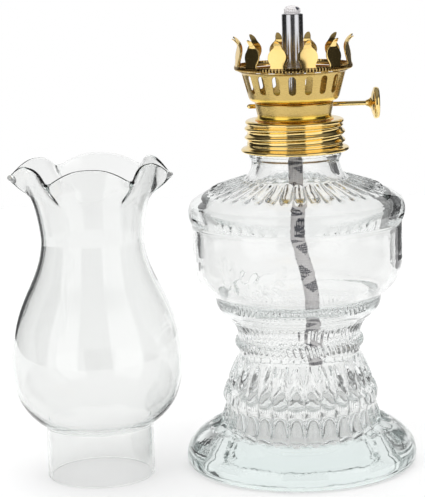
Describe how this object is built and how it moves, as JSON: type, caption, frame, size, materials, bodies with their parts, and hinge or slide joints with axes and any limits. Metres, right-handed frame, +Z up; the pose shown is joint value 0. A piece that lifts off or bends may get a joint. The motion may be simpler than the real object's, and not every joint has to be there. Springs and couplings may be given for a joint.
{
  "type": "oil lamp",
  "caption": "Small round-wick oil lamp: hollow pressed-glass vessel with screw-on brass burner, wick and winder knob, and a separate crimped glass chimney.",
  "frame": {"origin": "on the table, at the centre of the glass vessel's foot; the recess under the foot is 0.9 mm above it", "axes": "+Z up along the vessel's axis, +X towards the knob, -Y towards the viewer; the chimney stands at -X"},
  "size_m": [0.1423, 0.0818, 0.1616],
  "materials": {
    "pressed_glass": "clear pressed glass, faintly green in thick places",
    "blown_glass": "clear thin blown glass",
    "brass": "bright brass-plated sheet",
    "steel": "bright steel tube and wire",
    "cotton": "woven white cotton with dark marker threads",
    "rubber": "matt dark rubber"
  },
  "bodies": {
    "vessel": {"glass_vessel": "pressed_glass"},
    "seal": {"sealing_washer": "rubber"},
    "burner": {"screw_cap": "brass", "burner_cone": "brass", "gallery": "brass", "crown": "brass", "tube_deck": "brass", "tube_collar": "brass", "wick_tube": "steel", "shaft_eyelet_left": "brass", "shaft_eyelet_right": "brass"},
    "winder": {"wick_shaft": "brass", "knob": "brass", "spur_wheel_left": "steel", "spur_wheel_right": "steel", "shaft_retainer": "steel"},
    "wick": {"wick": "cotton", "wick_tail": "cotton"},
    "chimney": {"chimney": "blown_glass"}
  },
  "joints": [
    {"name": "burner_lift", "type": "slide", "parent": "vessel", "child": "seal", "axis": [0, 0, 1], "range_m": [0, 0.1]},
    {"name": "burner_turn", "type": "hinge", "parent": "seal", "child": "burner", "pos_m": [0, 0, 0.115], "axis": [0, 0, 1], "range_deg": [0, 540]},
    {"name": "knob_turn", "type": "hinge", "parent": "burner", "child": "winder", "pos_m": [0, 0.006, 0.1266], "axis": [-1, 0, 0], "range_deg": [-90, 120]},
    {"name": "wick_rise", "type": "slide", "parent": "burner", "child": "wick", "axis": [0, 0, 1], "range_m": [-0.0048, 0.0064]},
    {"name": "chimney_lift", "type": "slide", "parent": "vessel", "child": "chimney", "axis": [0, 0, 1], "range_m": [0, 0.15]}
  ],
  "couplings": [
    {"joint": "wick_rise", "follows": "knob_turn", "m_per_rad": 0.003}
  ]
}
